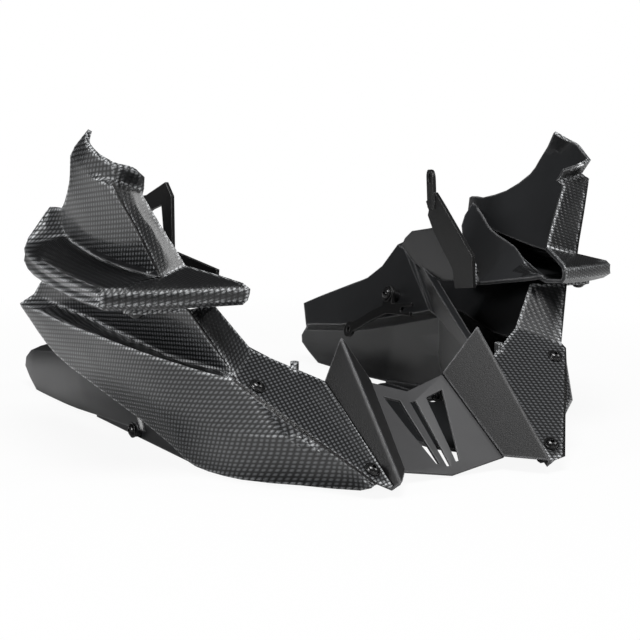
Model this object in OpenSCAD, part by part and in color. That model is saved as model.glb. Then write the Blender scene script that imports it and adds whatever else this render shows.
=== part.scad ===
// Motorcycle belly pan: two mirrored sides joined in front by a folded centre plate.
// +Z is up, the front of the motorcycle faces -Y, and the pan stands on its lower edges at z = 0.

/* [Overall size] */
// Width over the two winglets
pan_w = 458; // [420:2:500]
// Length from the front rails to the tail of the keel panels
pan_l = 475; // [430:1:520]
// Height from the lower edges to the tips of the collars
pan_h = 238; // [215:1:262]

/* [Side panels] */
// Wall of the upper and lower side panels
panel_t = 3; // [2.4:0.1:3.6]
// Wall of the keel panels
keel_t = 2.8; // [2.2:0.1:3.4]
// Wall of the floor panels
floor_t = 3; // [2.4:0.1:3.6]
// Width of the flange round the keel panel's upper rim
rim_flange = 4.5; // [3:0.5:6]
// Radius of the ear that carries the winglet's bolt
ear_r = 9; // [8:0.5:11]
// Diameter of the locating peg on the lower panel
peg_d = 6; // [4:0.5:8]
// Height of the locating peg over the panel's edge
peg_h = 5; // [3:0.5:8]

/* [Front plates] */
// Thickness of the folded centre plate and the front plates
plate_t = 2; // [1.4:0.1:2.4]
// Distance from the corner at which a front plate's rolled edge starts to turn
bead_reach = 4; // [3:0.5:5]
// Width of the front plate's flange behind the lower panel
back_flange = 18; // [17:0.5:22]
// Width of the centre plate's flange behind each front plate
tie_flange = 11; // [8:0.5:14]
// Width of an outer slot of the centre plate at its upper end
slot_w = 15; // [10:0.5:16]
// Width of the outer slots and the middle slot at their lower ends
slot_end_w = 2.7; // [2:0.1:4]
// Width of the middle slot at its upper end
mid_slot_w = 5; // [3:0.5:7]

/* [Brackets] */
// Thickness of the mounting brackets
bracket_t = 3; // [2:0.1:4]
// Thickness of the keel panel's ear and the upper panel's tab under an upper bracket
tab_t = 3; // [2.4:0.1:3.6]
// Bore of an upper bracket's eyelet
eye_d = 8.4; // [6.4:0.1:9]
// Outer diameter of an upper bracket's eyelet
eye_od = 14.4; // [13:0.2:16]
// How far the eyelet's end turns out of the bracket's plane, in degrees
eye_turn = 8; // [0:1:12]
// Width of the left bracket's struts
strut_w = 9; // [7:0.5:11]
// Bore of a lower bracket's eye
link_bore_d = 6.4; // [5:0.1:7]
// Outer diameter of the lower bracket's eye
link_od = 15; // [12:0.5:17]
// Width of a lower bracket's arm
arm_w = 9.6; // [8:0.2:12]
// Width of the open slot in the lower bracket's fork
fork_slot = 5.4; // [4.4:0.1:6]
// Length of the spacer under a lower bracket
spacer_l = 6; // [4:0.5:8]
// Outer diameter of the spacer
spacer_d = 11; // [9:0.5:14]

/* [Fasteners] */
// Shank diameter of the bolts
bolt_d = 5; // [4:0.1:6]
// Diameter of the flange under a bolt's head
head_d = 11.8; // [10:0.1:13]
// Height of a bolt's dome over its flange
dome_h = 2.6; // [2:0.1:3.4]
// Thickness of a head's flange
head_rim_t = 1.2; // [0.8:0.1:1.6]
// Width across flats of the hexagon socket
key_af = 3; // [2.5:0.1:3.6]
// Diameter of the washers
washer_d = 15; // [13:0.5:17]
// Thickness of the washers
washer_t = 1.2; // [0.8:0.1:1.6]
// Width of a clip nut's plate
clip_w = 11.5; // [10:0.5:11.5]
// Thickness of a clip nut's plate
clip_t = 1.2; // [0.8:0.1:1.6]
// Height of a clip nut's barrel
barrel_h = 3.4; // [2.6:0.2:4.4]
// Radial clearance of a bolt in its hole
hole_gap = 0.4; // [0.2:0.05:0.6]
// Radial clearance of a bolt in its nut
nut_gap = 0.1; // [0.05:0.05:0.2]
// Clearance between faces that seat on each other
seat_gap = 0.2; // [0.1:0.05:0.3]

/* [Hidden] */
$fn = 32;

// Control points are written at the nominal width, length and height, and follow the three sizes
function at(p) = [p.x * pan_w / 458, (p.y + 4.5) * pan_l / 475, p.z * pan_h / 238];
function all_at(g) = [for (row = g) [for (p = row) at(p)]];
function other(p) = [-p.x, p.y, p.z];

function unit(v) = v / norm(v);
function total(list, i = 0) = i == len(list) - 1 ? list[i] : list[i] + total(list, i + 1);
function has(list, k) = len([for (v = list) if (v == k) v]) > 0;

// A smooth strand through points, straight at its ends and sharp at the listed corners
function slope_out(p, i, sharp) = i == 0 || has(sharp, i) ? p[i + 1] - p[i] : (p[i + 1] - p[i - 1]) / 2;
function slope_in(p, i, sharp) =
    i == len(p) - 1 || has(sharp, i) ? p[i] - p[i - 1] : (p[i + 1] - p[i - 1]) / 2;
function hermite(a, b, ma, mb, k) =
    a * (2 * pow(k, 3) - 3 * pow(k, 2) + 1) + ma * (pow(k, 3) - 2 * pow(k, 2) + k)
    + b * (3 * pow(k, 2) - 2 * pow(k, 3)) + mb * (pow(k, 3) - pow(k, 2));
function strand(p, steps, sharp) = concat(
    [for (i = [0 : len(p) - 2]) for (s = [0 : steps[i] - 1])
        hermite(p[i], p[i + 1], slope_out(p, i, sharp), slope_in(p, i + 1, sharp), s / steps[i])],
    [p[len(p) - 1]]);
function turned(g) = [for (j = [0 : len(g[0]) - 1]) [for (i = [0 : len(g) - 1]) g[i][j]]];
// A grid made finer along its rows, then across them
function finer(g, across, sharp_across, down, sharp_down) = turned([
    for (col = turned([for (row = g) strand(row, across, sharp_across)])) strand(col, down, sharp_down)]);

// Outward direction of each corner of a grid, longer where faces meet at an angle
function face_normals(g) = [for (i = [0 : len(g) - 2]) [for (j = [0 : len(g[0]) - 2])
    unit(cross(g[i][j + 1] - g[i + 1][j], g[i + 1][j + 1] - g[i][j]))]];
function near_normals(f, i, j) = [for (a = [i - 1, i]) for (b = [j - 1, j])
    if (a >= 0 && b >= 0 && a < len(f) && b < len(f[0])) f[a][b]];
function corner_shift(list) = let (n = unit(total(list)), fit = total([for (v = list) v * n]) / len(list))
    n / max(fit, 0.6);
function shifts(g) = let (f = face_normals(g))
    [for (i = [0 : len(g) - 1]) [for (j = [0 : len(g[0]) - 1]) corner_shift(near_normals(f, i, j))]];

// A point kept no higher than a level
function capped(p, top) = [p.x, p.y, min(p.z, top)];

// A wall of the given thickness under a grid of points: the grid is its outer face
module sheet(g, t, top = 1000) {
    rows = len(g);
    cols = len(g[0]);
    s = shifts(g);
    outer = [for (row = g) for (p = row) p];
    inner = [for (i = [0 : rows - 1]) for (j = [0 : cols - 1]) capped(g[i][j] - s[i][j] * t, top)];
    count = rows * cols;
    function k(i, j) = i * cols + j;
    skin = [for (i = [0 : rows - 2]) for (j = [0 : cols - 2]) for (f = [
        [k(i, j), k(i + 1, j), k(i, j + 1)], [k(i + 1, j), k(i + 1, j + 1), k(i, j + 1)]]) f];
    back = [for (f = skin) [f[0] + count, f[2] + count, f[1] + count]];
    edge = concat([for (j = [0 : cols - 2]) [k(0, j), k(0, j + 1)]],
        [for (i = [0 : rows - 2]) [k(i, cols - 1), k(i + 1, cols - 1)]],
        [for (j = [cols - 1 : -1 : 1]) [k(rows - 1, j), k(rows - 1, j - 1)]],
        [for (i = [rows - 1 : -1 : 1]) [k(i, 0), k(i - 1, 0)]]);
    rim = [for (e = edge) for (f = [[e[0], e[1], e[1] + count], [e[0], e[1] + count, e[0] + count]]) f];
    polyhedron(points = concat(outer, inner), faces = concat(skin, back, rim), convexity = 8);
}

// Frames: x along u, z square to u and v; or z along a direction n
function axes(o, u, v) = let (a = unit(u), n = unit(cross(u, v)), b = cross(n, a))
    [[a.x, b.x, n.x, o.x], [a.y, b.y, n.y, o.y], [a.z, b.z, n.z, o.z], [0, 0, 0, 1]];
function aside(n) = norm(cross([0, 0, 1], n)) < 0.1 ? [1, 0, 0] : cross([0, 0, 1], n);
module along(o, n) multmatrix(axes(o, aside(n), cross(n, aside(n)))) children();
module both_sides() {
    children();
    mirror([1, 0, 0]) children();
}

// Joint height between the lower panel's top edge and the underside of the winglet
joint_h = at([0, 0, 119]).z;
seat_h = joint_h + seat_gap;
deep = 60;

// Front facet of the lower panel: a plane through three corners
facet = [[82, -238, 11], [147, -161, 73], [118, -134, 87]];
facet_tilt = cross(facet[1] - facet[0], facet[2] - facet[0]);
function on_facet(x, y) =
    [x, y, facet[0].z - ((x - facet[0].x) * facet_tilt.x + (y - facet[0].y) * facet_tilt.y) / facet_tilt.z];
facet_n = unit(cross(at(facet[1]) - at(facet[0]), at(facet[2]) - at(facet[0])));
facet_in_top = on_facet(72, -156);
facet_in_low = on_facet(69, -238.5);
facet_edge = [at(facet_in_top), at(facet_in_low)];
facet_in = unit(cross(facet_edge[1] - facet_edge[0], facet_n));
upper_bolt = at(on_facet(132, -165));
lower_bolt = at(on_facet(78, -227));

// Lower side panel: rows run from the top edge over the ledge and the belt to the lower edge
tail_points = [
    [[188, 88, 113], [185, 50, 114], [181, 6, 119.5]],
    [[190, 98, 102], [179, 58, 95], [167, 24, 88]],
    [[195, 117, 92], [192, 60, 89], [189, 12, 86.5]],
    [[195, 116, 90.5], [190, 64, 76], [183, 10, 64]],
    [[194.5, 115, 89], [184, 69, 57], [172, 8, 38]]];
side_points = [
    [[180.5, -6, 120], [179, -24, 120], [174.6, -72, 120], [171, -110, 120], [169.8, -125, 120],
     [169.3, -131, 120], [169, -134, 120], [142, -121, 120]],
    [[164.3, 6, 85], [160.3, -21, 82], [152, -72, 74.5], [148.7, -113, 75], [146.7, -139, 76],
     [146, -151, 76.3], [145.5, -157, 76.5], [119, -133, 88]],
    [[187, -10, 86], [184, -40, 84.5], [175, -88, 81], [159, -132, 76], [150, -152, 74],
     [149, -156.5, 73.5], facet[1], facet[2]],
    [[178, -30, 56], [174, -60, 51], [167, -100, 43], [153, -146, 38], [139, -173, 37],
     [127, -193.5, 39.5], on_facet(114.5, -199.5), facet_in_top],
    [[160, -45, 22], [153, -80, 10], [149, -108, 1.5], [135, -150, 0], [107, -183, 0.3],
     [79, -215, 0.9], facet[0], facet_in_low]];
function joined(a, b) = [for (i = [0 : len(a) - 1]) concat(a[i], b[i])];
lower_full = finer(all_at(joined(tail_points, side_points)), [4, 3, 2, 2, 3, 3, 2, 2, 2, 1], [2, 9],
    [1, 1, 3, 3], [1, 2, 3]);
lower_grid = [for (row = lower_full) [for (p = row) capped(p, joint_h)]];
wing_bolt = at([198, -115, 0]);

module bolt_hole(o, n) {
    along(o, n) cylinder(d = bolt_d + 2 * hole_gap, h = 2 * deep / 3, center = true);
}

module lower_panel() {
    ear_root = at([169.5, 0, 0]).x;
    color("#2b2c30") difference() {
        union() {
            sheet(lower_grid, panel_t, joint_h);
            translate([0, 0, joint_h - tab_t]) linear_extrude(tab_t) {
                translate([wing_bolt.x, wing_bolt.y]) circle(ear_r);
                polygon([[ear_root, wing_bolt.y + 1.9 * ear_r], [wing_bolt.x, wing_bolt.y + ear_r],
                    [wing_bolt.x, wing_bolt.y - ear_r], [ear_root, wing_bolt.y - ear_r]]);
            }
            translate(at(on_facet(91, -147.5)) - 2 * facet_n) cylinder(d = peg_d, h = peg_h + 2);
        }
        bolt_hole(upper_bolt, facet_n);
        along(lower_bolt, facet_n) cylinder(d = bolt_d + 2 * hole_gap, h = 4 * panel_t, center = true);
        multmatrix(axes(lower_bolt, -facet_in, facet_edge[0] - facet_edge[1]))
            translate([-head_d, -head_d, -panel_t - plate_t - 2 * seat_gap])
                cube([head_d + 5, 2.4 * head_d, plate_t + 1.5 * seat_gap]);
        translate([wing_bolt.x, wing_bolt.y, joint_h - tab_t])
            cylinder(d = bolt_d + 2 * hole_gap, h = 3 * tab_t, center = true);
    }
}

// Frame of the upper bracket's plane: x along the plane toward the front, y up, z into the pan
ear_o = at([126.5, -44, 127]);
ear_far = at([136.5, 12, 149]);
ear_up = at([129, -8, 196]);
ear_n = unit(cross(ear_up - ear_o, ear_far - ear_o));
ear_u = unit(cross([0, 0, 1], ear_n));
module in_ear() multmatrix(axes(ear_o, ear_u, cross(ear_n, ear_u))) children();
ear_bolt = [-20, 9];
tab_bolt = [17, -5];

// Upper side panel: rows run from the collar's rim over the horn and the winglet to the joint inside
upper_points = all_at([
    [[211, -64, 238], [217, -74, 232], [220, -83, 228], [218, -94, 221.5], [213, -107, 216],
     [199, -113, 212], [187, -104, 207]],
    [[216, -52, 226], [219, -62, 221], [219, -76, 214], [214, -92, 208.5], [207, -103, 204],
     [196, -101, 201], [185, -99, 199]],
    [[217, -46, 219], [217, -54, 214], [217, -68, 209], [216, -88, 205], [212, -107, 201],
     [200, -105, 198], [188, -103, 195]],
    [[213, -34, 200], [211, -35, 190], [208, -55, 182], [203, -88, 176], [199, -117, 173],
     [186, -111, 172], [175, -109, 171]],
    [[207, -10, 184], [202, -6, 172], [201, -40, 160], [196, -83, 153], [190, -123, 152],
     [178, -117, 155], [167, -113, 157]],
    [[200, 14, 177], [197, 14, 158], [196, -30, 148.5], [192, -80, 143], [186, -126, 141],
     [174, -121, 144], [162, -116, 147]],
    [[201, 34, 177], [214, 46, 148], [222, -20, 139], [225, -75, 136], [224, -119, 134],
     [183, -143, 137], [141, -160, 139]],
    [[203, 40, 168], [216, 48, 140], [224, -19, 132], [228, -75, 129], [226.8, -121, 127],
     [183, -148, 130], [139, -166, 132]],
    [[200, 36, 158], [213, 46, 130], [221, -20, 123], [224, -75, 120.5], [223, -118, 119.5],
     [182, -143, 121.5], [141, -160, 124]],
    [[188, 26, 135], [185, 12, 119], [174, -30, 119], [164, -82, 119], [160, -122, 119],
     [152, -126, 120], [144, -138, 121.5]],
    [[196, 30, 168], [191, 10, 160], [180, -20, 147.5], [160, -75, 139.5], [152, -100, 131],
     [148, -113, 124.5], [143, -128, 124.5]],
    [[184, 24, 150], [178, 10, 135], [150, -44, 112], [128, -74, 113], [130, -100, 117.5],
     [136, -125, 122], [140, -140, 125.5]]]);
upper_grid = finer(upper_points, [3, 3, 3, 3, 3, 3], [4], [1, 1, 3, 2, 2, 2, 2, 2, 1, 2, 2],
    [1, 2, 5, 9, 10]);

module upper_panel() {
    color("#2b2c30") difference() {
        union() {
            sheet(upper_grid, panel_t);
            in_ear() translate([0, 0, -tab_t]) linear_extrude(tab_t)
                polygon([[3, -14], [3, 4], [32, 4], [32, -14]]);
            translate([0, 0, at([0, 0, 113]).z]) linear_extrude(panel_t)
                polygon([for (p = [[129.5, -72], [151, -42], [128, -45], [124.5, -73]]) [at([p.x, 0, 0]).x,
                    at([0, p.y, 0]).y]]);
        }
        translate([at([150, 0, 0]).x, at([0, -140, 0]).y, joint_h - deep + seat_gap])
            cube([pan_w / 6, pan_l * 0.32, deep]);
        in_ear() translate(tab_bolt) cylinder(d = bolt_d + 2 * hole_gap, h = 4 * tab_t, center = true);
        translate([wing_bolt.x, wing_bolt.y, seat_h])
            cylinder(d = bolt_d + 2 * hole_gap, h = 3 * panel_t, center = true);
        translate([wing_bolt.x, wing_bolt.y, seat_h + panel_t]) cylinder(d = 1.5 * clip_w, h = panel_t);
    }
}

// Keel panel: its upper wall is a plane through three corners
keel_corners = [[134, 202, 42], [133, -4, 84], [150, 62, 126]];
keel_tilt = cross(keel_corners[1] - keel_corners[0], keel_corners[2] - keel_corners[0]);
function on_keel(y, z) = [keel_corners[0].x
    - ((y - keel_corners[0].y) * keel_tilt.y + (z - keel_corners[0].z) * keel_tilt.z) / keel_tilt.x, y, z];
function rim_out(y, z) = on_keel(y, z) + [rim_flange, 0, 1.4];
keel_rim = [[217, 57], [193, 66], [141, 84], [110, 95], [90, 108], [74, 129]];
keel_foot = [[202, 42], [185, 45], [135, 52], [105, 59], [85, 63.5], [70, 67]];
keel_points = all_at([
    concat([for (p = keel_rim) rim_out(p[0], p[1])], [rim_out(58, 127), [156, 43, 121], [88, -130, 67]]),
    concat([for (p = keel_rim) on_keel(p[0], p[1])], [on_keel(62, 126), [151, 44, 120], [84, -132, 66]]),
    concat([for (p = keel_foot) on_keel(p[0], p[1])], [on_keel(-4, 84), [130, -20, 82], [83, -134, 62]]),
    [[145, 226, 32], [148, 205, 35], [151, 140, 44], [152, 110, 50], [152, 90, 55], [152, 76, 58],
     [146, 0, 76], [134, -22, 78], [82, -135, 58]],
    [[148, 233, 17], [151, 205, 18.5], [154, 142, 22], [155.5, 112, 26], [156, 92, 28], [156, 80, 30],
     [150, 4, 40], [133, -26, 40], [80, -138, 30]],
    [[149, 203, 0.2], [149, 186, 0], [149, 140, 0.3], [148.5, 110, 1], [148, 90, 2], [148, 75, 3],
     [148, -14, 8], [132, -30, 3.6], [76, -140, 3.6]]]);
keel_grid = finer(keel_points, [2, 2, 2, 1, 1, 2, 2, 2], [5, 6, 7], [1, 1, 2, 2, 2], [1, 2]);
keel_bolt = at([149.8, -4, 6.4]);
keel_boss = 1.8;
lip_x = keel_bolt.x - keel_boss - keel_t - seat_gap;
lip_top = at([0, 0, 20]).z;
nut_room = 1;
link_o = at(keel_corners[0]);
module in_link() multmatrix(axes(link_o, at(keel_corners[1]) - link_o, at(keel_corners[2]) - link_o))
    children();
link_bolt = [154.7, 14.2];

module keel_panel() {
    color("#1b1b1d") difference() {
        union() {
            sheet(keel_grid, keel_t);
            in_ear() translate([0, 0, -tab_t]) linear_extrude(tab_t)
                polygon([[-119, -6], [-118.5, 1], [-106.7, 11.6], [-90.3, 19.5], [-36.6, 27.9], [-29, 23],
                    [-9, 6], [-2, -14], [-30, -18], [-64, -14], [-98, -6]]);
            translate(keel_bolt) rotate([0, -90, 0]) cylinder(d = head_d - 1, h = keel_t + keel_boss);
        }
        translate([lip_x - floor_t - seat_gap, at([0, -34, 0]).y, -1])
            cube([floor_t + 2 * seat_gap, at([0, 26, 0]).y - at([0, 0, 0]).y, lip_top + 1 + seat_gap]);
        in_ear() translate(ear_bolt) cylinder(d = bolt_d + 2 * hole_gap, h = 4 * tab_t, center = true);
        in_link() translate(link_bolt) cylinder(d = bolt_d + 2 * hole_gap, h = 4 * keel_t, center = true);
        along(keel_bolt, [1, 0, 0]) cylinder(d = bolt_d + 2 * hole_gap, h = 4 * keel_t, center = true);
    }
}

// Floor panel: a plate between the lower panel and the keel panel with a lip inside the keel's edge
shell_shift = shifts(lower_grid);
last_row = len(lower_grid) - 1;
function inside_foot(j) = lower_grid[last_row][j] - shell_shift[last_row][j] * (panel_t + 3 * seat_gap);

module floor_panel() {
    color("#1f1f21") difference() {
        union() {
            linear_extrude(floor_t) polygon(concat(
                [for (p = [[136, 78], [104, 62], [82, 5], [58, -55], [42, -95], [34, -122], [37, -142],
                    [50, -162], [78, -192]]) [at([p.x, 0, 0]).x, at([0, p.y, 0]).y]],
                [for (j = [20 : -1 : 15]) [inside_foot(j).x, inside_foot(j).y]],
                [[lip_x, at([0, -86, 0]).y], [lip_x, at([0, 78, 0]).y]]));
            translate([lip_x - floor_t, 0, 0]) rotate([90, 0, 90]) linear_extrude(floor_t)
                polygon([for (p = [[78, 0], [78, 6], [4, 12], [-14, 12], [-40, 20], [-86, 20], [-86, 0]])
                    [at([0, p.x, 0]).y, at([0, 0, p.y]).z]]);
        }
        along(keel_bolt, [1, 0, 0]) cylinder(d = bolt_d + 2 * hole_gap, h = deep / 2, center = true);
        translate([lip_x - floor_t - clip_w, keel_bolt.y - clip_w / 2 - nut_room, -1])
            cube([clip_w, clip_w + 2 * nut_room, floor_t + 2]);
    }
}

// Front plate: rows run from the fold over the rolled rail to a flange behind the lower panel's facet
rail = [at([61, -159, 97]), at([65, -243.5, 11.5])];
fold = [at([32, -155, 62]), at([43, -216, 11])];
plate_n = unit(cross(fold[1] - rail[0], rail[1] - fold[0]));
behind = [for (p = facet_edge) p + facet_in * 3 * seat_gap - facet_n * (panel_t + seat_gap)];
function bend(a, p, b, reach) = let (q = p + unit(a - p) * reach, r = p + unit(b - p) * reach)
    [for (k = [0 : 0.25 : 1]) q * pow(1 - k, 2) + p * 2 * k * (1 - k) + r * pow(k, 2)];

module front_plate() {
    low_corner = unit(facet_edge[0] - facet_edge[1]) * 0.6 - facet_in * 0.75;
    rows = turned([for (i = [0, 1]) concat([fold[i]], bend(fold[i], rail[i], behind[i], bead_reach),
        [behind[i], behind[i] + (i == 0 ? -facet_in : low_corner) * back_flange])]);
    color("#232324") difference() {
        sheet(rows, plate_t);
        along(lower_bolt - facet_n * panel_t, facet_n)
            cylinder(d = bolt_d + 2 * nut_gap, h = 4 * plate_t, center = true);
    }
}

// Centre plate: two facets meet at a crease; a flange lies behind each front plate
crease = [at([0, -155, 51]), at([0, -214, 2])];
under = [for (p = fold) p - plate_n * (plate_t + seat_gap)];
tie_dir = unit(cross(plate_n, fold[1] - fold[0]));
module on_half() multmatrix(axes(crease[0], crease[1] - crease[0], under[0] - crease[0])) children();

module centre_plate() {
    fold_dir = unit(fold[1] - fold[0]);
    half = [for (i = [0, 1]) [under[i] + tie_dir * tie_flange - fold_dir * i * tie_flange, under[i]]];
    rows = [[other(half[0][0]), other(half[1][0])], [other(half[0][1]), other(half[1][1])], crease,
        [half[0][1], half[1][1]], [half[0][0], half[1][0]]];
    color("#2f2f31") difference() {
        sheet(rows, plate_t);
        both_sides() on_half() linear_extrude(deep / 3, center = true)
            polygon([[66.7, 7.3 + slot_end_w], [66.8, 7.3], [9.3, 11.6], [6, 11.6 + slot_w]]);
        on_half() linear_extrude(deep / 3, center = true)
            polygon([[10, -mid_slot_w / 2], [10, mid_slot_w / 2], [69, slot_end_w / 2], [69, -slot_end_w / 2]]);
    }
}

// Upper brackets: the right one is a plate, the left one a triangle of struts, each with an eyelet
eye_right = [-41.6, 69.5];
eye_left = [-74, 50];
neck_half = 9.4;
module eyelet(eye_at, foot) {
    reach = neck_half - eye_od / 2;
    translate(eye_at) rotate([0, -eye_turn, 0]) linear_extrude(bracket_t) {
        for (s = [-reach, reach]) translate([s, 0]) circle(d = eye_od);
        translate([-neck_half, -foot]) square([2 * neck_half, foot]);
        translate([-reach, 0]) square([2 * reach, eye_od / 2]);
    }
}
module eye_bore(eye_at) translate(eye_at) rotate([0, -eye_turn, 0])
    cylinder(d = eye_d, h = 4 * bracket_t, center = true);
module blind_holes() for (p = [ear_bolt, tab_bolt]) translate([p.x, p.y, -1])
    cylinder(d = bolt_d + 2 * nut_gap, h = 0.8 * bracket_t + 1);
base = [[36, 11], [36, -15], [2, -20], [-2, -4], [-37, 23.6]];

module upper_bracket_right() {
    color("#19191a") in_ear() translate([0, 0, seat_gap]) difference() {
        union() {
            linear_extrude(bracket_t) polygon(concat(base,
                [[-48.2, 37.3], [-45.8, 41.8], [-51, 49], [-32, 58], [-17.1, 48.3]]));
            eyelet(eye_right, 26);
        }
        eye_bore(eye_right);
        blind_holes();
    }
}

module upper_bracket_left() {
    color("#19191a") mirror([1, 0, 0]) in_ear() translate([0, 0, seat_gap]) difference() {
        union() {
            linear_extrude(bracket_t) difference() {
                polygon(concat(base, [[-70, 41], [-70, 56.5], [-53, 59.4], [-30.3, 70.6], [-22, 60.6],
                    [-17, 20]]));
                polygon([[-54, 44], [-44.4, 49.3], [-33.6, 53.1], [-17 - strut_w, 20], [-38, 32]]);
            }
            eyelet(eye_left, 2);
        }
        eye_bore(eye_left);
        blind_holes();
    }
}

// Lower bracket: an arm on one bolt, with an eye at one end and an open fork at the other
eye_link = [96.7, -14.8];
arm_path = [[106, -12], [130, -4.5], [154.7, 1], [176, -1.2]];
arm_end = 4;
lug_half = 0.45 * washer_d;
link_z = keel_t + spacer_l + 2 * seat_gap;
module lower_bracket() {
    color("#19191a") in_link() translate([0, 0, link_z]) difference() {
        union() {
            translate(eye_link) cylinder(d = link_od, h = bracket_t);
            linear_extrude(bracket_t) polygon(concat([for (p = arm_path) p + [0, arm_w / 2]], [[193.8, 3.4], [193.8, -8.6]],
                [for (i = [3 : -1 : 0]) arm_path[i] - [0, arm_w / 2]], [eye_link - [arm_end, arm_w / 2],
                eye_link + [-arm_end, arm_w / 2]]));
            translate(link_bolt) cylinder(d = washer_d, h = bracket_t);
            translate(link_bolt) linear_extrude(bracket_t)
                polygon([[-lug_half, 0], [lug_half, 0], [washer_d / 2, -washer_d], [-washer_d / 2, -washer_d]]);
        }
        translate(eye_link) cylinder(d = link_bore_d, h = 4 * bracket_t, center = true);
        translate(link_bolt) cylinder(d = bolt_d + 2 * hole_gap, h = 4 * bracket_t, center = true);
        translate([181, -2.2, -bracket_t]) {
            cylinder(d = fork_slot, h = 4 * bracket_t);
            translate([0, -fork_slot / 2, 0]) cube([deep / 3, fork_slot, 4 * bracket_t]);
        }
    }
}
module lower_brackets_at() both_sides() in_link() translate(link_bolt) children();
module bracket_spacers() color("#4a4a4c") lower_brackets_at() translate([0, 0, keel_t + seat_gap])
    difference() {
        cylinder(d = spacer_d, h = spacer_l);
        cylinder(d = bolt_d + 2 * hole_gap, h = 3 * spacer_l, center = true);
    }
washer_z = link_z + bracket_t + seat_gap;
module bracket_washers() color("#4a4a4c") lower_brackets_at() translate([0, 0, washer_z]) difference() {
    cylinder(d = washer_d, h = washer_t);
    cylinder(d = bolt_d + 2 * hole_gap, h = 3 * washer_t, center = true);
}

// Fasteners: a bolt's head seats at z = 0 and its shank points down
module bolt(reach) {
    color("#111112") difference() {
        rotate_extrude() polygon(concat([[0, -reach], [bolt_d / 2 - 0.4, -reach], [bolt_d / 2, 0.4 - reach],
            [bolt_d / 2, 0], [head_d / 2, 0], [head_d / 2, head_rim_t]],
            [for (a = [0 : 15 : 75]) [cos(a) * head_d * 0.4, head_rim_t + sin(a) * dome_h]],
            [[0, head_rim_t + dome_h]]));
        translate([0, 0, head_rim_t]) cylinder(d = key_af / cos(30), h = dome_h + 1, $fn = 6);
    }
}
module clip_nut() {
    color("#3a3a3c") difference() {
        union() {
            translate([-clip_w / 2, -clip_w / 2, -clip_t]) cube([clip_w, clip_w, clip_t]);
            translate([0, 0, -clip_t - barrel_h]) cylinder(d = bolt_d + 3.6, h = barrel_h + clip_t / 2);
        }
        cylinder(d = bolt_d + 2 * nut_gap, h = deep, center = true);
    }
}
nut_depth = clip_t + barrel_h + 1;
wing_stack = tab_t + seat_gap + panel_t;
keel_stack = keel_boss + keel_t + seat_gap + floor_t;
link_stack = washer_z + washer_t;

module front_bolts() both_sides() {
    along(upper_bolt + facet_n * seat_gap / 2, facet_n) bolt(panel_t + nut_depth);
    along(lower_bolt + facet_n * seat_gap / 2, facet_n) bolt(panel_t + plate_t + 0.8);
}
module wing_bolts() both_sides()
    translate([wing_bolt.x, wing_bolt.y, joint_h - tab_t - seat_gap / 2]) rotate([180, 0, 0])
        bolt(wing_stack + nut_depth);
module keel_bolts() both_sides() along(keel_bolt + [seat_gap / 2, 0, 0], [1, 0, 0])
    bolt(keel_stack + nut_depth);
module upper_bracket_bolts() both_sides() in_ear() for (p = [ear_bolt, tab_bolt])
    translate([p.x, p.y, -tab_t - seat_gap / 2]) rotate([180, 0, 0]) bolt(tab_t + 0.7 * bracket_t);
module lower_bracket_bolts() lower_brackets_at() translate([0, 0, link_stack + seat_gap / 2])
    bolt(link_stack + nut_depth);
module clip_nuts() {
    both_sides() along(upper_bolt - facet_n * (panel_t + seat_gap), facet_n) clip_nut();
    both_sides() translate([wing_bolt.x, wing_bolt.y, joint_h + wing_stack - tab_t + seat_gap])
        rotate([180, 0, 0]) clip_nut();
    both_sides() along(keel_bolt - [keel_stack + seat_gap, 0, 0], [1, 0, 0]) clip_nut();
    lower_brackets_at() translate([0, 0, -seat_gap]) clip_nut();
}

mirror([1, 0, 0]) lower_panel();  // lower_panel_left
lower_panel();  // lower_panel_right
mirror([1, 0, 0]) upper_panel();  // upper_panel_left
upper_panel();  // upper_panel_right
mirror([1, 0, 0]) keel_panel();  // keel_panel_left
keel_panel();  // keel_panel_right
mirror([1, 0, 0]) floor_panel();  // floor_panel_left
floor_panel();  // floor_panel_right
mirror([1, 0, 0]) front_plate();  // front_plate_left
front_plate();  // front_plate_right
centre_plate();
upper_bracket_left();
upper_bracket_right();
mirror([1, 0, 0]) lower_bracket();  // lower_bracket_left
lower_bracket();  // lower_bracket_right
bracket_spacers();
bracket_washers();
front_bolts();
wing_bolts();
keel_bolts();
upper_bracket_bolts();
lower_bracket_bolts();
clip_nuts();
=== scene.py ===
import bpy
import bmesh
from math import radians
from mathutils import Matrix, Vector
from mathutils.bvhtree import BVHTree


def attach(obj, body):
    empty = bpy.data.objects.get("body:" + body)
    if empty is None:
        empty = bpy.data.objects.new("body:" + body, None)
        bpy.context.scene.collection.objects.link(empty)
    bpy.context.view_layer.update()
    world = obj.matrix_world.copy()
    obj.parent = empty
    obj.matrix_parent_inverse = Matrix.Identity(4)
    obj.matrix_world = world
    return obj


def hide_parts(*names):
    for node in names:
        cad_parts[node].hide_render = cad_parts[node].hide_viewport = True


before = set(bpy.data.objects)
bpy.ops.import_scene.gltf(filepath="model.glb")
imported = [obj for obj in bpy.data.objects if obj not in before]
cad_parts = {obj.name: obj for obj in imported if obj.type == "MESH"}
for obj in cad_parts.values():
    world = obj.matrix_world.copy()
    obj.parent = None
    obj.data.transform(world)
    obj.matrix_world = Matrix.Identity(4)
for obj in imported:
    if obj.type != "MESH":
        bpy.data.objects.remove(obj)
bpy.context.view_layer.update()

# Camera: a long lens from the front left of the pan and a little above it.
# Its place and its turn were worked out from the mirrored lines of the pan's two sides.
lens = bpy.data.cameras.new("camera")
lens.lens = 81.5625
lens.sensor_width = 36
lens.clip_start = 0.05
lens.clip_end = 60
camera = bpy.data.objects.new("camera", lens)
bpy.context.scene.collection.objects.link(camera)
right = Vector((0.84916, -0.5278, 0.01908))
up = Vector((0.0647, 0.13981, 0.98806))
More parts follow.
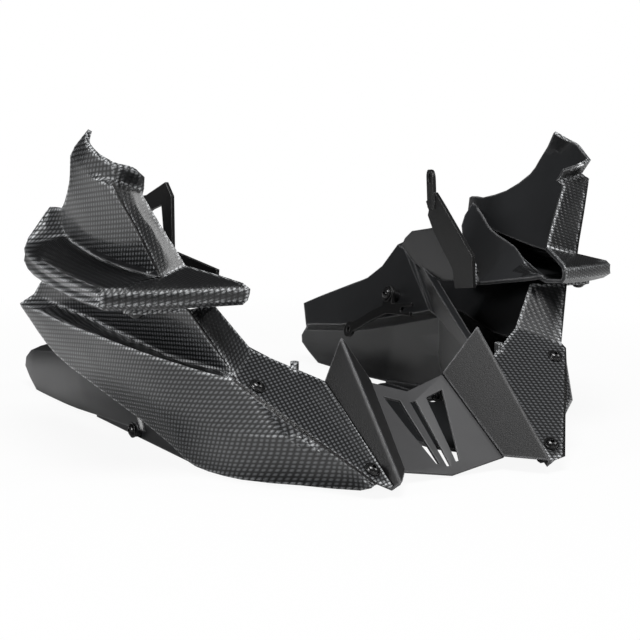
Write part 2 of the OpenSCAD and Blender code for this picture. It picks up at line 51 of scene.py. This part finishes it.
camera.matrix_world = (
    Matrix.Translation((-0.608, -1.0003, 0.2639))
    @ Matrix((right, up, right.cross(up))).transposed().to_4x4())
bpy.context.scene.camera = camera
bpy.context.scene.view_settings.view_transform = "Standard"

# Studio: a plain white floor that runs off to a white room, and large soft lamps.
# The floor keeps the pan's shadow; what the camera sees beyond it is plain white.
floor_reach = 12
ground = bmesh.new()
bmesh.ops.create_grid(ground, x_segments=1, y_segments=1, size=floor_reach)
floor_mesh = bpy.data.meshes.new("floor")
ground.to_mesh(floor_mesh)
ground.free()
floor = bpy.data.objects.new("floor", floor_mesh)
bpy.context.scene.collection.objects.link(floor)

floor_paint = bpy.data.materials.new("white_floor")
floor_paint.use_nodes = True
nodes, links = floor_paint.node_tree.nodes, floor_paint.node_tree.links
nodes.clear()
matt = nodes.new("ShaderNodeBsdfDiffuse")
matt.inputs["Color"].default_value = (0.62, 0.62, 0.62, 1)
glow = nodes.new("ShaderNodeEmission")
glow.inputs["Strength"].default_value = 1.0
seen = nodes.new("ShaderNodeLightPath")
spot = nodes.new("ShaderNodeTexCoord")
away = nodes.new("ShaderNodeVectorMath")
away.operation = "LENGTH"
fade = nodes.new("ShaderNodeMapRange")
fade.inputs["From Min"].default_value = 0.25
fade.inputs["From Max"].default_value = 0.75
fade.inputs["To Min"].default_value = 0.92
whitened = nodes.new("ShaderNodeMath")
whitened.operation = "MULTIPLY"
blend = nodes.new("ShaderNodeMixShader")
out = nodes.new("ShaderNodeOutputMaterial")
links.new(spot.outputs["Object"], away.inputs[0])
links.new(away.outputs["Value"], fade.inputs["Value"])
links.new(seen.outputs["Is Camera Ray"], whitened.inputs[0])
links.new(fade.outputs["Result"], whitened.inputs[1])
links.new(whitened.outputs[0], blend.inputs["Fac"])
links.new(matt.outputs[0], blend.inputs[1])
links.new(glow.outputs[0], blend.inputs[2])
links.new(blend.outputs[0], out.inputs["Surface"])
floor_mesh.materials.append(floor_paint)

# The camera sees the room plain white; in the pan's gloss and as fill light it is dim
mirrored_glow = 0.04
fill_glow = 0.04
room = bpy.data.worlds.new("white_room")
room.use_nodes = True
bpy.context.scene.world = room
nodes, links = room.node_tree.nodes, room.node_tree.links
nodes.clear()
seen = nodes.new("ShaderNodeLightPath")
mirrored = nodes.new("ShaderNodeMath")
mirrored.operation = "MULTIPLY"
mirrored.inputs[1].default_value = mirrored_glow
shown = nodes.new("ShaderNodeMath")
shown.operation = "MAXIMUM"
clear = nodes.new("ShaderNodeMath")
clear.operation = "MAXIMUM"
strength = nodes.new("ShaderNodeMath")
strength.operation = "MAXIMUM"
strength.inputs[1].default_value = fill_glow
sky = nodes.new("ShaderNodeBackground")
sky.inputs["Color"].default_value = (1, 1, 1, 1)
out = nodes.new("ShaderNodeOutputWorld")
links.new(seen.outputs["Is Glossy Ray"], mirrored.inputs[0])
links.new(seen.outputs["Is Camera Ray"], shown.inputs[0])
links.new(seen.outputs["Is Transmission Ray"], shown.inputs[1])
links.new(shown.outputs[0], clear.inputs[0])
links.new(mirrored.outputs[0], clear.inputs[1])
links.new(clear.outputs[0], strength.inputs[0])
links.new(strength.outputs[0], sky.inputs["Strength"])
links.new(sky.outputs[0], out.inputs["Surface"])


def lamp(name, place, aim, width, height, watts):
    """A rectangular soft lamp at a place, turned to face a point."""
    light = bpy.data.lights.new(name, "AREA")
    light.shape = "RECTANGLE"
    light.size = width
    light.size_y = height
    light.energy = watts
    holder = bpy.data.objects.new(name, light)
    bpy.context.scene.collection.objects.link(holder)
    place = Vector(place)
    turn = (Vector(aim) - place).to_track_quat("-Z", "Y").to_matrix().to_4x4()
    holder.matrix_world = Matrix.Translation(place) @ turn


middle = (0, 0, 0.1)
lamp("top_lamp", (-0.3, -0.6, 1.55), middle, width=0.8, height=0.5, watts=30)
lamp("left_lamp", (-1.65, -0.2, 0.55), middle, width=0.5, height=0.5, watts=16)
lamp("right_lamp", (1.2, -0.9, 1.2), middle, width=0.5, height=0.6, watts=9)
lamp("front_lamp", (-0.2, -1.9, 0.35), middle, width=0.9, height=0.2, watts=1.5)

# Side panels: two injection-moulded ABS shells a side, a lower one with the belt and an upper one
# with the winglet and the collar. Their skin is a satin film with a printed and embossed
# carbon-fibre weave; the inside is the bare black moulding.


def rounded_copy(node, name, round_over, steps=2):
    """A copy of a CAD solid with its triangles merged and its sharp edges rounded over."""
    same_point = 2e-6
    flat, corner, crease = radians(0.4), radians(26), radians(38)
    bm = bmesh.new()
    bm.from_mesh(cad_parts[node].data)
    bmesh.ops.remove_doubles(bm, verts=bm.verts, dist=same_point)
    bmesh.ops.dissolve_limit(
        bm, angle_limit=flat, verts=bm.verts, edges=bm.edges, use_dissolve_boundaries=False)
    bmesh.ops.join_triangles(
        bm, faces=bm.faces, angle_face_threshold=radians(22), angle_shape_threshold=radians(70))
    sharp = [e for e in bm.edges if len(e.link_faces) == 2 and e.calc_face_angle(0) > corner]
    bmesh.ops.bevel(
        bm, geom=sharp, offset=round_over, offset_type="OFFSET", segments=steps, profile=0.5,
        affect="EDGES", material=-1, clamp_overlap=True, loop_slide=True)
    for face in bm.faces:
        face.smooth = True
    mesh = bpy.data.meshes.new(name)
    bm.to_mesh(mesh)
    bm.free()
    mesh.set_sharp_from_angle(angle=crease)
    piece = bpy.data.objects.new(name, mesh)
    bpy.context.scene.collection.objects.link(piece)
    even = piece.modifiers.new("even_normals", "WEIGHTED_NORMAL")
    even.keep_sharp = True
    return piece


def fit_out(piece, material, node):
    """Give a piece its material and its body, and hide the CAD node it stands for."""
    piece.data.materials.append(material)
    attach(piece, "root")
    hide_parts(node)


def new_group(name, values, results):
    """An empty node group with float inputs, a point input and named outputs."""
    tree = bpy.data.node_groups.new(name, "ShaderNodeTree")
    tree.interface.new_socket(name="Point", in_out="INPUT", socket_type="NodeSocketVector")
    for label, value in values.items():
        socket = tree.interface.new_socket(name=label, in_out="INPUT", socket_type="NodeSocketFloat")
        socket.default_value = value
    for label in results:
        tree.interface.new_socket(name=label, in_out="OUTPUT", socket_type="NodeSocketFloat")
    return tree, tree.nodes.new("NodeGroupInput"), tree.nodes.new("NodeGroupOutput")


def maths(tree, operation, a, b=None, c=None):
    """One Math node; a, b and c are sockets or plain numbers."""
    node = tree.nodes.new("ShaderNodeMath")
    node.operation = operation
    for i, value in enumerate((a, b, c)):
        if isinstance(value, (int, float)):
            node.inputs[i].default_value = value
        elif value is not None:
            tree.links.new(value, node.inputs[i])
    return node.outputs[0]


# The weave: columns and rows of tows on the plane that a face is nearest to, as the film wraps it
flank_weight = 1.25
column_lean = 0.72
front_slope, flank_slope = 0.35, 0.12
flank_stretch = 0.3
tow_contrast = 1.1
# Radians in a turn, times 1000: points are in metres and spacings in millimetres
full_turn = 6283.19
weave, given, result = new_group("film_weave", {"Across": 2.4, "Along": 3.0}, ("Tow", "Shade"))
geometry = weave.nodes.new("ShaderNodeNewGeometry")
facing = weave.nodes.new("ShaderNodeSeparateXYZ")
weave.links.new(geometry.outputs["Normal"], facing.inputs[0])
point = weave.nodes.new("ShaderNodeSeparateXYZ")
weave.links.new(given.outputs["Point"], point.inputs[0])
flank = maths(weave, "MULTIPLY", maths(weave, "ABSOLUTE", facing.outputs["X"]), flank_weight)
front = maths(weave, "ABSOLUTE", facing.outputs["Y"])
top = maths(weave, "ABSOLUTE", facing.outputs["Z"])
is_flank = maths(weave, "GREATER_THAN", flank, maths(weave, "MAXIMUM", front, top))
is_top = maths(weave, "GREATER_THAN", top, maths(weave, "MAXIMUM", front, flank))


def pick(tree, choice, yes, no):
    """One of two values by a mask of 0 or 1."""
    return maths(tree, "ADD", maths(tree, "MULTIPLY", choice, yes),
                 maths(tree, "MULTIPLY", maths(tree, "SUBTRACT", 1.0, choice), no))


hand_x = maths(weave, "ABSOLUTE", point.outputs["X"])
along = pick(weave, is_flank, point.outputs["Y"], hand_x)
rise = pick(weave, is_top, point.outputs["Y"], point.outputs["Z"])
# On the flanks the columns lean forward and the rows stand further apart; in front the rows slope
# down outwards
lean = maths(weave, "MULTIPLY", is_flank, column_lean)
slope = maths(weave, "MULTIPLY_ADD", is_flank, flank_slope - front_slope, front_slope)
column = maths(weave, "MULTIPLY_ADD", rise, lean, along)
row = maths(weave, "MULTIPLY_ADD", along, slope, rise)
stretch = maths(weave, "MULTIPLY_ADD", is_flank, flank_stretch, 1.0)
row_gap = maths(weave, "MULTIPLY", given.outputs["Along"], stretch)
waves = []
for line, spacing in ((column, given.outputs["Across"]), (row, row_gap)):
    angle = maths(weave, "DIVIDE", maths(weave, "MULTIPLY", line, full_turn), spacing)
    waves.append(maths(weave, "MULTIPLY_ADD", maths(weave, "COSINE", angle), 0.5, 0.5))
tow = maths(weave, "MULTIPLY", *waves)
weave.links.new(tow, result.inputs["Tow"])
# Painted shade on the tows: they stay bright on the flanks and the belt, and are darkened on what looks up
# or ahead
# above it: the winglet's top, and the front faces of the winglet and the fin
shaded_facings = []
for axis, start, end, most in (("Z", 0.63, 0.76, 0.95), ("Y", -0.3, -0.6, 0.8)):
    turned = weave.nodes.new("ShaderNodeMapRange")
    turned.inputs["From Min"].default_value = start
    turned.inputs["From Max"].default_value = end
    turned.inputs["To Max"].default_value = most
    weave.links.new(facing.outputs[axis], turned.inputs["Value"])
    shaded_facings.append(turned.outputs["Result"])
high = weave.nodes.new("ShaderNodeMapRange")
high.inputs["From Min"].default_value = 0.082
high.inputs["From Max"].default_value = 0.1
weave.links.new(point.outputs["Z"], high.inputs["Value"])
painted_shade = maths(weave, "MULTIPLY", high.outputs["Result"], maths(weave, "MAXIMUM", *shaded_facings))
unshaded = maths(weave, "SUBTRACT", 1.0, painted_shade)
shade = maths(weave, "MULTIPLY", maths(weave, "POWER", tow, tow_contrast), unshaded)
weave.links.new(shade, result.inputs["Shade"])

# Fine grain and slow unevenness, shared by every finish
grain, given, result = new_group("fine_grain", {"Grain size": 0.5, "Cloud size": 60.0}, ("Grain", "Cloud"))
for size, label, detail in (("Grain size", "Grain", 2.0), ("Cloud size", "Cloud", 3.0)):
    noise = grain.nodes.new("ShaderNodeTexNoise")
    noise.inputs["Detail"].default_value = detail
    grain.links.new(given.outputs["Point"], noise.inputs["Vector"])
    grain.links.new(maths(grain, "DIVIDE", 1000.0, given.outputs[size]), noise.inputs["Scale"])
    grain.links.new(noise.outputs["Fac"], result.inputs[label])

# Edge wear and painted highlight: a light line along edges, worn coat on steel, painted highlight on the
# film, moulding and grained plates
edge_gain = 6.0
wear_and_highlight, given, result = new_group("edge_wear_and_highlight", {"Width": 0.8, "Amount": 1.0}, ("Edge",))
bevelled = wear_and_highlight.nodes.new("ShaderNodeBevel")
bevelled.samples = 4
plain = wear_and_highlight.nodes.new("ShaderNodeNewGeometry")
wear_and_highlight.links.new(maths(wear_and_highlight, "DIVIDE", given.outputs["Width"], 1000.0), bevelled.inputs["Radius"])
apart = wear_and_highlight.nodes.new("ShaderNodeVectorMath")
apart.operation = "DOT_PRODUCT"
wear_and_highlight.links.new(bevelled.outputs["Normal"], apart.inputs[0])
wear_and_highlight.links.new(plain.outputs["Normal"], apart.inputs[1])
patchiness = wear_and_highlight.nodes.new("ShaderNodeTexNoise")
patchiness.inputs["Scale"].default_value = 120.0
wear_and_highlight.links.new(given.outputs["Point"], patchiness.inputs["Vector"])
bend = maths(wear_and_highlight, "SUBTRACT", 1.0, apart.outputs["Value"])
strong = wear_and_highlight.nodes.new("ShaderNodeMath")
strong.operation = "MULTIPLY"
strong.use_clamp = True
wear_and_highlight.links.new(maths(wear_and_highlight, "MULTIPLY", bend, edge_gain), strong.inputs[0])
wear_and_highlight.links.new(maths(wear_and_highlight, "MULTIPLY", patchiness.outputs["Fac"], given.outputs["Amount"]), strong.inputs[1])
wear_and_highlight.links.new(strong.outputs[0], result.inputs["Edge"])


# Grooves: the narrow channel moulded beside each long crease of the shells, the same on both sides.
# One crease runs down the upper panel above the winglet, and two run down the lower panel, above
# the belt and beside the front face. They are given here for the right-hand side
creases = (
    ((0.2105, -0.101, 0.203), (0.2056, -0.1075, 0.1873), (0.1919, -0.1172, 0.1567),
     (0.1855, -0.1215, 0.141)),
    ((0.169, -0.1295, 0.119), (0.1568, -0.1414, 0.097), (0.1463, -0.1547, 0.0746)),
    ((0.1475, -0.157, 0.073), (0.0815, -0.2335, 0.011)))
grooves, given, result = new_group("crease_grooves", {"Width": 1.0}, ("Groove",))
halves = grooves.nodes.new("ShaderNodeVectorMath")
halves.operation = "ABSOLUTE"
grooves.links.new(given.outputs["Point"], halves.inputs[0])
split = grooves.nodes.new("ShaderNodeSeparateXYZ")
whole = grooves.nodes.new("ShaderNodeSeparateXYZ")
mirrored_point = grooves.nodes.new("ShaderNodeCombineXYZ")
grooves.links.new(halves.outputs[0], split.inputs[0])
grooves.links.new(given.outputs["Point"], whole.inputs[0])
grooves.links.new(split.outputs["X"], mirrored_point.inputs["X"])
grooves.links.new(whole.outputs["Y"], mirrored_point.inputs["Y"])
grooves.links.new(whole.outputs["Z"], mirrored_point.inputs["Z"])


def vector_maths(tree, operation, a, b):
    """A Vector Math node between a socket and a socket or a plain vector."""
    node = tree.nodes.new("ShaderNodeVectorMath")
    node.operation = operation
    tree.links.new(a, node.inputs[0])
    if isinstance(b, Vector):
        node.inputs[1].default_value = b
    else:
        tree.links.new(b, node.inputs[1])
    return node


nearest = None
for start, end in [span for crease in creases for span in zip(crease, crease[1:])]:
    start, way = Vector(start), Vector(end) - Vector(start)
    reach = vector_maths(grooves, "SUBTRACT", mirrored_point.outputs[0], start).outputs["Vector"]
    advance = vector_maths(grooves, "DOT_PRODUCT", reach, way).outputs["Value"]
    share = maths(grooves, "DIVIDE", advance, way.length_squared)
    share = maths(grooves, "MINIMUM", maths(grooves, "MAXIMUM", share, 0.0), 1.0)
    foot = grooves.nodes.new("ShaderNodeVectorMath")
    foot.operation = "SCALE"
    foot.inputs[0].default_value = way
    grooves.links.new(share, foot.inputs["Scale"])
    gap = vector_maths(grooves, "DISTANCE", reach, foot.outputs["Vector"]).outputs["Value"]
    nearest = gap if nearest is None else maths(grooves, "MINIMUM", nearest, gap)
edge = grooves.nodes.new("ShaderNodeMapRange")
edge.interpolation_type = "SMOOTHSTEP"
edge.inputs["From Min"].default_value = 1.6
edge.inputs["From Max"].default_value = 0.6
in_widths = maths(grooves, "DIVIDE", maths(grooves, "MULTIPLY", nearest, 1000.0), given.outputs["Width"])
grooves.links.new(in_widths, edge.inputs["Value"])
grooves.links.new(edge.outputs["Result"], result.inputs["Groove"])


def start_material(name, coat=0.0):
    """A material with one Principled shader, fed later, and a point in object space."""
    material = bpy.data.materials.new(name)
    material.use_nodes = True
    tree = material.node_tree
    shader = tree.nodes["Principled BSDF"]
    shader.inputs["Coat Weight"].default_value = coat
    place = tree.nodes.new("ShaderNodeTexCoord")
    return material, tree, shader, place.outputs["Object"]


def use_group(tree, group, point, **values):
    """A group placed in a material with its own values."""
    node = tree.nodes.new("ShaderNodeGroup")
    node.node_tree = group
    tree.links.new(point, node.inputs["Point"])
    for label, value in values.items():
        node.inputs[label.replace("_", " ")].default_value = value
    return node


def mix_colours(tree, factor, low, high):
    """A colour that goes from low to high with a mask; low and high are colours or sockets."""
    node = tree.nodes.new("ShaderNodeMix")
    node.data_type = "RGBA"
    tree.links.new(factor, node.inputs[0])
    # The node's colour sockets are its inputs 6 and 7 and its output 2
    for socket, value in ((node.inputs[6], low), (node.inputs[7], high)):
        if isinstance(value, tuple):
            socket.default_value = (*value, 1)
        else:
            tree.links.new(value, socket)
    return node.outputs[2]


def spread(tree, factor, low, high):
    """A number that goes from low to high with a mask."""
    return maths(tree, "MULTIPLY_ADD", factor, high - low, low)


def dent(tree, shader, height, depth, strength, rounding):
    """A bump of a depth in metres over edges softened by a radius in metres."""
    soft = tree.nodes.new("ShaderNodeBevel")
    soft.samples = 6
    soft.inputs["Radius"].default_value = rounding
    bump = tree.nodes.new("ShaderNodeBump")
    tree.links.new(soft.outputs["Normal"], bump.inputs["Normal"])
    bump.inputs["Distance"].default_value = depth
    bump.inputs["Strength"].default_value = strength
    tree.links.new(height, bump.inputs["Height"])
    tree.links.new(bump.outputs["Normal"], shader.inputs["Normal"])


# The film: grey tows on black under a clear coat, a painted highlight at the edges, painted shade in the
# grooves
film, tree, shader, point = start_material("carbon_look_film", coat=0.5)
shader.inputs["Coat Roughness"].default_value = 0.12
shader.inputs["Specular IOR Level"].default_value = 0.3
gap_black, tow_grey = (0.0015, 0.0016, 0.0018), (0.12, 0.124, 0.13)
haze_grey, haze_share = (0.02, 0.021, 0.023), 0.15
edge_highlight_grey, highlight_spread = (0.88, 0.9, 0.92), 0.6
groove_shade_black = (0.002, 0.002, 0.002)
tow_relief = 0.25
tows = use_group(tree, weave, point, Across=3.7, Along=2.5)
skin = use_group(tree, grain, point, Grain_size=0.35, Cloud_size=70.0)
edges = use_group(tree, wear_and_highlight, point, Width=5.0, Amount=2.0)
base = mix_colours(tree, tows.outputs["Shade"], gap_black, tow_grey)
haze = maths(tree, "MULTIPLY", skin.outputs["Cloud"], haze_share)
cloudy = mix_colours(tree, haze, base, haze_grey)
# Painted highlight: the tows turn light grey along the rounded edges
on_tows = maths(tree, "POWER", tows.outputs["Tow"], highlight_spread)
edge_highlight = maths(tree, "MULTIPLY", edges.outputs["Edge"], on_tows)
worn_and_lit = mix_colours(tree, edge_highlight, cloudy, edge_highlight_grey)
crease = use_group(tree, grooves, point, Width=1.5)
# Painted shade: the grooves are coloured near black
groove_shaded = mix_colours(tree, crease.outputs["Groove"], worn_and_lit, groove_shade_black)
tree.links.new(groove_shaded, shader.inputs["Base Color"])
tree.links.new(spread(tree, tows.outputs["Tow"], 0.42, 0.24), shader.inputs["Roughness"])
raised = maths(tree, "MULTIPLY", tows.outputs["Tow"], tow_relief)
height = maths(tree, "SUBTRACT", raised, crease.outputs["Groove"])
dent(tree, shader, height, depth=0.0009, strength=0.8, rounding=0.0045)

# The bare moulding, smooth from a polished tool, shows on the inside
satin, tree, shader, point = start_material("satin_moulding")
skin = use_group(tree, grain, point, Grain_size=0.4, Cloud_size=90.0)
edges = use_group(tree, wear_and_highlight, point, Width=2.2, Amount=1.4)
base = mix_colours(tree, skin.outputs["Cloud"], (0.009, 0.0094, 0.0102), (0.019, 0.0197, 0.021))
# Painted highlight: a light line along the moulding's rims
worn_and_lit = mix_colours(tree, edges.outputs["Edge"], base, (0.17, 0.17, 0.175))
tree.links.new(worn_and_lit, shader.inputs["Base Color"])
tree.links.new(spread(tree, skin.outputs["Cloud"], 0.27, 0.4), shader.inputs["Roughness"])
dent(tree, shader, skin.outputs["Grain"], depth=0.00003, strength=0.4, rounding=0.0025)

# The film stops where a shell turns inwards; where more of the shell stands close in front, the dark
# moulding is put there as painted shade
skin_lift = 0.001
shaded_hollow_reach = {"lower": 0.016, "upper": 0.028}
outward_least = 0.02
for side in ("left", "right"):
    hand = -1 if side == "left" else 1
    outward = Vector((0.75 * hand, -0.6, 0.28))
    for level in ("lower", "upper"):
        shell = rounded_copy(f"{level}_panel_{side}", f"{level}_shell_{side}", round_over=0.0013, steps=3)
        fit_out(shell, film, f"{level}_panel_{side}")
        shell.data.materials.append(satin)
        walls = BVHTree.FromPolygons(
            [v.co for v in shell.data.vertices], [p.vertices for p in shell.data.polygons])
        for face in shell.data.polygons:
            lifted = face.center + face.normal * skin_lift
            shaded_hollow = walls.ray_cast(lifted, face.normal, shaded_hollow_reach[level])[0] is not None
            if shaded_hollow or face.normal.dot(outward) < outward_least:
                face.material_index = 1

# Keel and floor panels: on each side one black moulding with a flanged rim runs back along the
# exhaust, and a flat one ties it to the lower panel. They are satin ABS without film, bolted on.
for side in ("left", "right"):
    keel = rounded_copy(f"keel_panel_{side}", f"keel_moulding_{side}", round_over=0.0007)
    fit_out(keel, satin, f"keel_panel_{side}")
    plate = rounded_copy(f"floor_panel_{side}", f"floor_moulding_{side}", round_over=0.0006)
    fit_out(plate, satin, f"floor_panel_{side}")

# Front plates and centre plate: folded plates that close the front between the two sides.
# The outer ones are black with a leather-like grain, the slotted middle one is smooth satin.
grained, tree, shader, point = start_material("grained_plate")
shader.inputs["Specular IOR Level"].default_value = 0.35
skin = use_group(tree, grain, point, Grain_size=0.9, Cloud_size=50.0)
edges = use_group(tree, wear_and_highlight, point, Width=2.4, Amount=1.5)
base = mix_colours(tree, skin.outputs["Grain"], (0.001, 0.001, 0.0011), (0.012, 0.012, 0.0125))
# Painted highlight: a light line along the plates' rolled edges
worn_and_lit = mix_colours(tree, edges.outputs["Edge"], base, (0.2, 0.2, 0.205))
tree.links.new(worn_and_lit, shader.inputs["Base Color"])
tree.links.new(spread(tree, skin.outputs["Grain"], 0.4, 0.62), shader.inputs["Roughness"])
dent(tree, shader, skin.outputs["Grain"], depth=0.00025, strength=0.8, rounding=0.002)
for side in ("left", "right"):
    plate = rounded_copy(f"front_plate_{side}", f"front_cheek_{side}", round_over=0.0005)
    fit_out(plate, grained, f"front_plate_{side}")

sheet, tree, shader, point = start_material("satin_sheet")
skin = use_group(tree, grain, point, Grain_size=0.3, Cloud_size=60.0)
edges = use_group(tree, wear_and_highlight, point, Width=0.5, Amount=0.8)
base = mix_colours(tree, skin.outputs["Cloud"], (0.03, 0.03, 0.031), (0.05, 0.05, 0.052))
worn_and_lit = mix_colours(tree, edges.outputs["Edge"], base, (0.15, 0.15, 0.15))
tree.links.new(worn_and_lit, shader.inputs["Base Color"])
tree.links.new(spread(tree, skin.outputs["Cloud"], 0.34, 0.46), shader.inputs["Roughness"])
dent(tree, shader, skin.outputs["Grain"], depth=0.00004, strength=0.4, rounding=0.0005)
centre = rounded_copy("centre_plate", "slotted_centre", round_over=0.0004)
fit_out(centre, sheet, "centre_plate")

# Brackets: laser-cut 3 mm steel under a satin black powder coat, which is thin at the cut edges.
# Each upper one has an eyelet for the frame, each lower one an eye and an open fork.
# Spacers, washers and clip nuts have the same coat.
coat, tree, shader, point = start_material("black_powder_coat")
shader.inputs["Specular IOR Level"].default_value = 0.3
skin = use_group(tree, grain, point, Grain_size=0.6, Cloud_size=40.0)
edges = use_group(tree, wear_and_highlight, point, Width=0.5, Amount=1.0)
base = mix_colours(tree, skin.outputs["Cloud"], (0.003, 0.003, 0.0031), (0.0055, 0.0055, 0.0058))
worn_and_lit = mix_colours(tree, edges.outputs["Edge"], base, (0.22, 0.22, 0.22))
tree.links.new(worn_and_lit, shader.inputs["Base Color"])
tree.links.new(spread(tree, skin.outputs["Grain"], 0.34, 0.5), shader.inputs["Roughness"])
dent(tree, shader, skin.outputs["Grain"], depth=0.00006, strength=0.6, rounding=0.0006)
for side in ("left", "right"):
    for level in ("upper", "lower"):
        bracket = rounded_copy(f"{level}_bracket_{side}", f"{level}_bracket_plate_{side}", round_over=0.0003)
        fit_out(bracket, coat, f"{level}_bracket_{side}")
for node in ("bracket_spacers", "bracket_washers", "clip_nuts"):
    small = rounded_copy(node, f"{node}_coated", round_over=0.0002)
    fit_out(small, coat, node)

# Bolts: M5 flanged button heads with a hexagon socket, of blackened steel with a slight oil sheen.
# They hold the panels, the plates and the brackets together.
blackened, tree, shader, point = start_material("blackened_steel")
skin = use_group(tree, grain, point, Grain_size=0.5, Cloud_size=8.0)
edges = use_group(tree, wear_and_highlight, point, Width=0.3, Amount=1.0)
base = mix_colours(tree, skin.outputs["Cloud"], (0.003, 0.003, 0.0032), (0.007, 0.007, 0.0073))
worn_and_lit = mix_colours(tree, edges.outputs["Edge"], base, (0.14, 0.14, 0.14))
tree.links.new(worn_and_lit, shader.inputs["Base Color"])
tree.links.new(spread(tree, skin.outputs["Grain"], 0.2, 0.3), shader.inputs["Roughness"])
for node in ("front_bolts", "wing_bolts", "keel_bolts", "upper_bracket_bolts", "lower_bracket_bolts"):
    screws = rounded_copy(node, f"{node}_black", round_over=0.0001)
    fit_out(screws, blackened, node)
